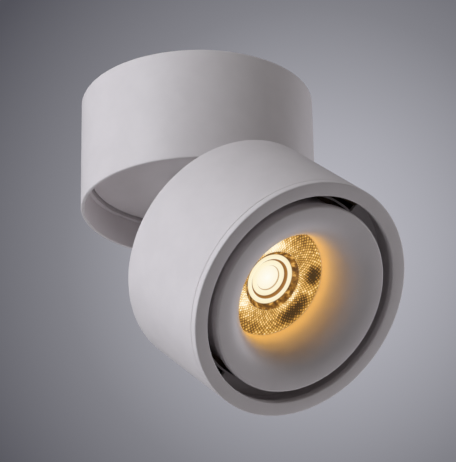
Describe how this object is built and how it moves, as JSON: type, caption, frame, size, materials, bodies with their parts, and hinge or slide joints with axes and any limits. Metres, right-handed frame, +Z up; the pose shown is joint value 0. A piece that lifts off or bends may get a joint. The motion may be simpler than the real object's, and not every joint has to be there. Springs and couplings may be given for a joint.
{
  "type": "adjustable ceiling spotlight",
  "caption": "Surface-mounted ceiling spotlight: a white canister with a matching cylindrical LED head that swivels and tilts on a hidden hinge.",
  "frame": {"origin": "centre of the canister's ceiling face, midway between the two ceiling screws", "axes": "+Z up into the ceiling, +X the way the head points at rest, +Y across the hinge pin"},
  "size_m": [0.1429, 0.1, 0.1496],
  "materials": {
    "white_coat": "matt, finely textured white powder coat",
    "zinc_steel": "zinc-plated pressed steel",
    "screw_steel": "bright zinc-plated screws",
    "sink_alu": "die-cast aluminium",
    "driver_plastic": "off-white plastic",
    "terminal_plastic": "natural nylon",
    "terminal_brass": "brass",
    "nylon": "nylon washer",
    "grommet_rubber": "black rubber",
    "pad_grey": "soft grey thermal pad",
    "led_ceramic": "white ceramic board",
    "led_phosphor": "warm white phosphor, lit",
    "holder_plastic": "white heat-proof plastic",
    "lens_clear": "clear moulded optic with a faceted cone",
    "clip_steel": "tempered spring steel, browned"
  },
  "bodies": {
    "canister": {"ceiling_plate": "zinc_steel", "ceiling_grommet": "grommet_rubber", "side_screws": "screw_steel", "base_shell": "white_coat", "cavity_ring": "white_coat", "partition": "zinc_steel", "partition_screws": "screw_steel", "driver_case": "driver_plastic", "driver_cover": "driver_plastic", "driver_screws": "screw_steel", "terminal_block": "terminal_plastic", "terminal_screws": "terminal_brass", "hollow_nipple": "zinc_steel", "nipple_nut": "zinc_steel", "friction_washer": "nylon"},
    "carrier": {"swivel_plate": "white_coat", "hinge_bracket": "white_coat", "bracket_screws": "screw_steel", "hinge_pin": "screw_steel", "hinge_nut": "screw_steel", "hinge_washers": "screw_steel"},
    "head": {"hinge_arm": "white_coat", "arm_screws": "screw_steel", "head_shell": "white_coat", "clamp_ring": "white_coat", "back_plate": "white_coat", "back_plate_screws": "screw_steel", "back_grommet": "grommet_rubber", "heat_sink": "sink_alu", "thermal_pad": "pad_grey", "led_board": "led_ceramic", "led_emitter": "led_phosphor", "led_holder": "holder_plastic", "led_holder_screws": "screw_steel", "lens_cup": "holder_plastic", "lens": "lens_clear", "optic_frame": "zinc_steel", "frame_screws": "screw_steel", "baffle": "white_coat", "baffle_tube": "white_coat", "baffle_screws": "screw_steel", "bezel_ring": "white_coat", "spring_clips": "clip_steel"}
  },
  "joints": [
    {"name": "swivel", "type": "hinge", "parent": "canister", "child": "carrier", "pos_m": [0, 0, -0.036], "axis": [0, 0, 1], "range_deg": [-175, 175]},
    {"name": "tilt", "type": "hinge", "parent": "carrier", "child": "head", "pos_m": [0.0375, 0, -0.0428], "axis": [0, -1, 0], "range_deg": [-49.6, 15.4]}
  ]
}
